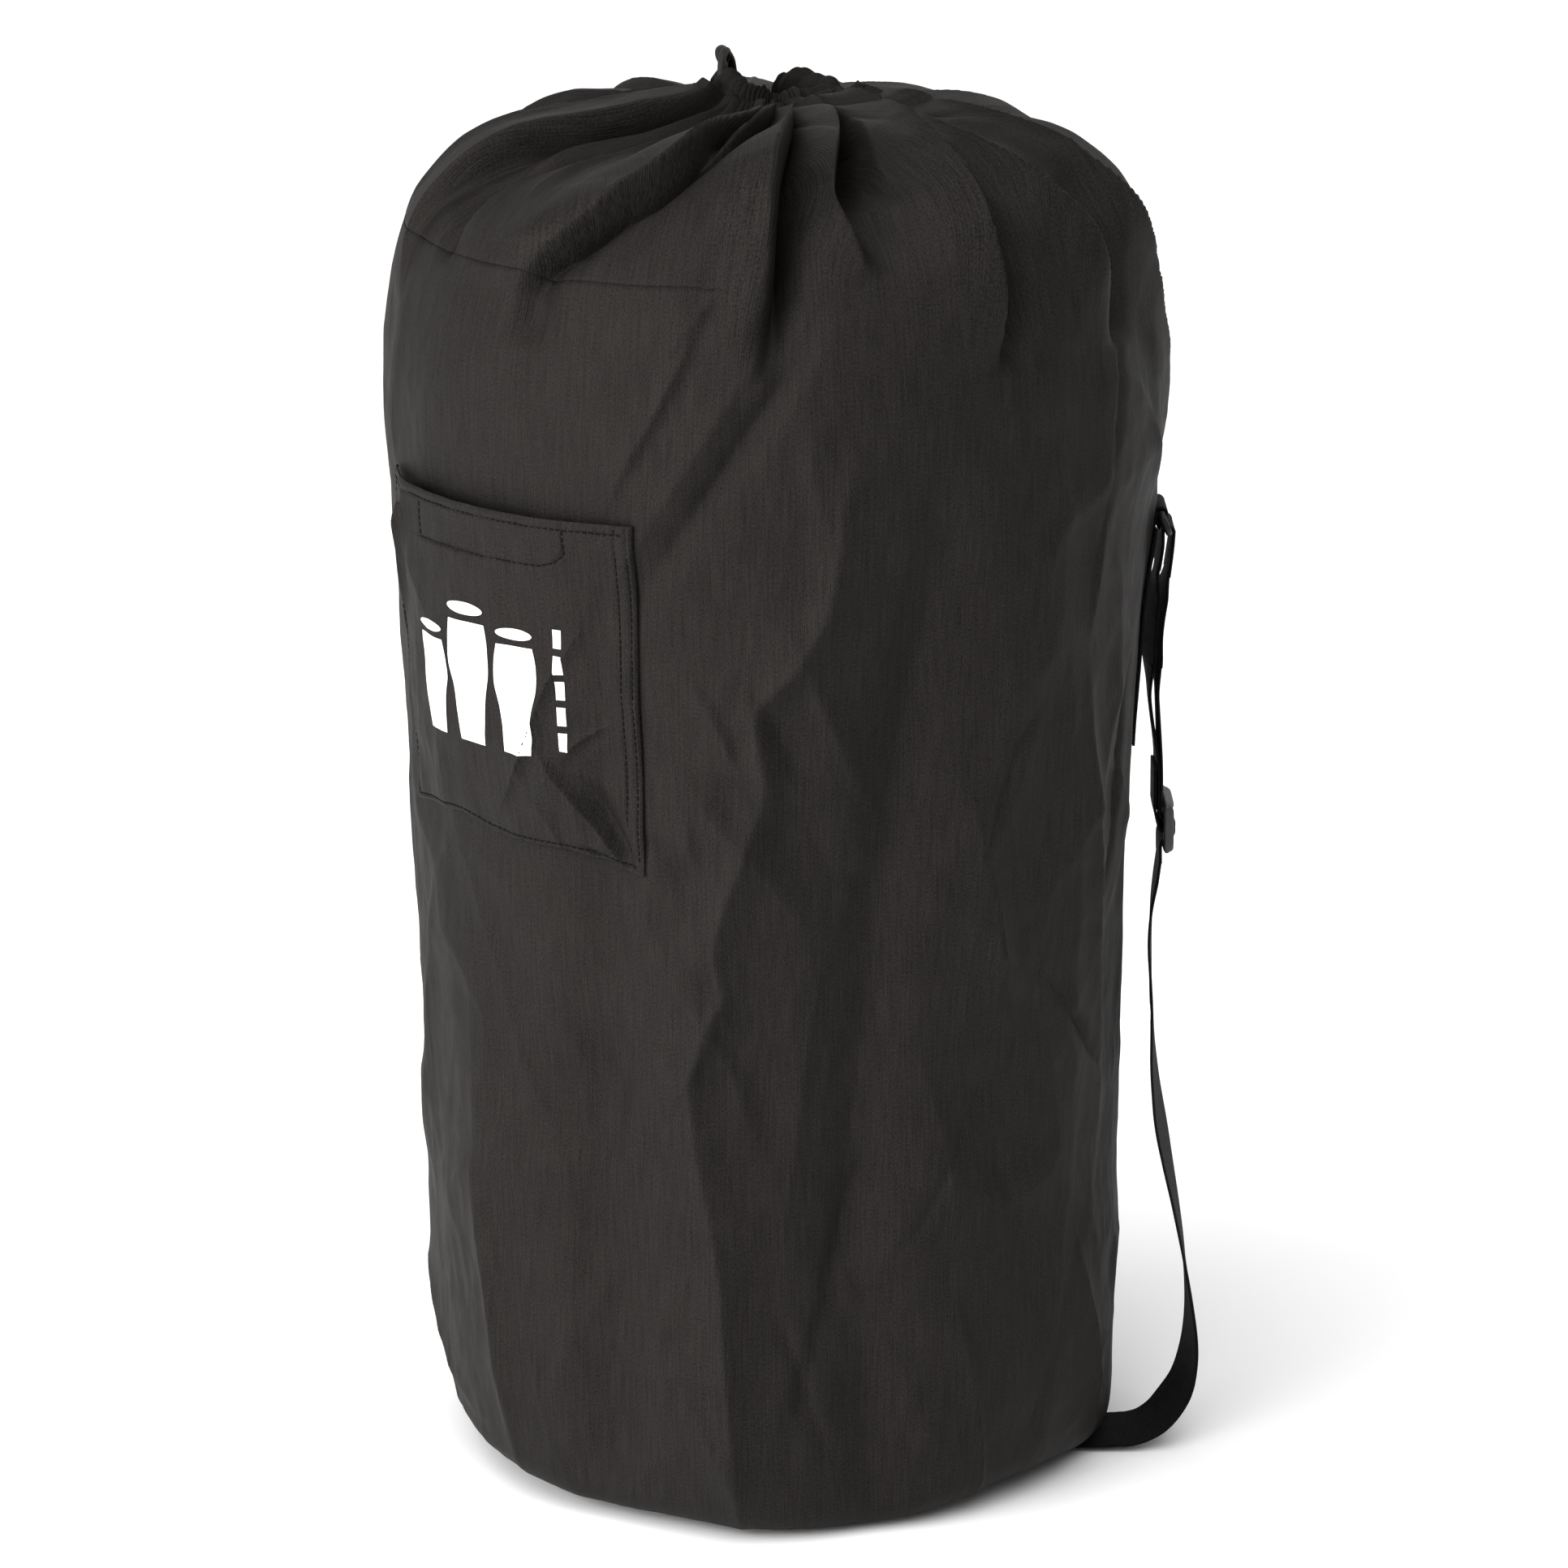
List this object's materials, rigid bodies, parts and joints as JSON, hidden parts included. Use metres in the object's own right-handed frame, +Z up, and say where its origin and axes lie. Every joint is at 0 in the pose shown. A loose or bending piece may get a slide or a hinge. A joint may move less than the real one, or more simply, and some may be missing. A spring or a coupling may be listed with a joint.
{
  "type": "hand drum carrying bag",
  "caption": "Tall drawstring carrying bag for a hand drum, round base, gathered neck, patch pocket and adjustable webbing shoulder strap.",
  "frame": {"origin": "centre of the round base, on the floor that the bag stands on", "axes": "+Z up through the gathered neck, -Y towards the front, +X towards the side that carries the shoulder strap"},
  "size_m": [0.4745, 0.4637, 0.8463],
  "materials": {
    "cloth": "ribbed nylon, dark charcoal, slight sheen",
    "webbing": "woven strap webbing, near black",
    "binding_tape": "woven binding tape, black",
    "touch_fastener": "hook-and-loop pile, black",
    "cord": "braided cord, dark grey",
    "slider_plastic": "moulded, fine grain, worn edges",
    "ring_metal": "black coated steel wire",
    "white_print": "screen printed ink, matt white"
  },
  "bodies": {
    "bag": {"base_panel": "cloth", "body_panel": "cloth", "top_collar": "cloth", "drawstring_channel": "cloth", "base_binding": "binding_tape", "collar_seam_tape": "binding_tape", "side_seam_tape": "binding_tape", "pocket_panel": "cloth", "pocket_hook_strip": "touch_fastener", "pocket_loop_strip": "touch_fastener", "pocket_print": "white_print", "upper_strap_tab": "webbing", "upper_tab_loop": "webbing", "strap_sewn_end": "webbing", "drawstring_in_channel": "cord", "drawstring_tail_left": "cord", "drawstring_tail_right": "cord", "drawstring_knot": "cord"},
    "ring": {"strap_ring": "ring_metal"},
    "strap": {"strap_upper_webbing": "webbing", "strap_lower_webbing": "webbing"},
    "slider": {"tri_glide": "slider_plastic"}
  },
  "joints": [
    {"name": "ring_tilt", "type": "hinge", "parent": "bag", "child": "ring", "pos_m": [0.228, 0.0153, 0.56418], "axis": [0, -0.9968, 0.08], "range_deg": [-8, 40]},
    {"name": "strap_swing", "type": "hinge", "parent": "bag", "child": "strap", "pos_m": [0.212, -0.02988, 0.0015], "axis": [0.037, 0.08, 0.9961], "range_deg": [-35, 35], "deforming": ["strap_upper_webbing", "strap_sewn_end"]},
    {"name": "slider_slide", "type": "slide", "parent": "strap", "child": "slider", "axis": [0, 0.08, 0.9968], "range_m": [-0.06, 0.03]}
  ]
}
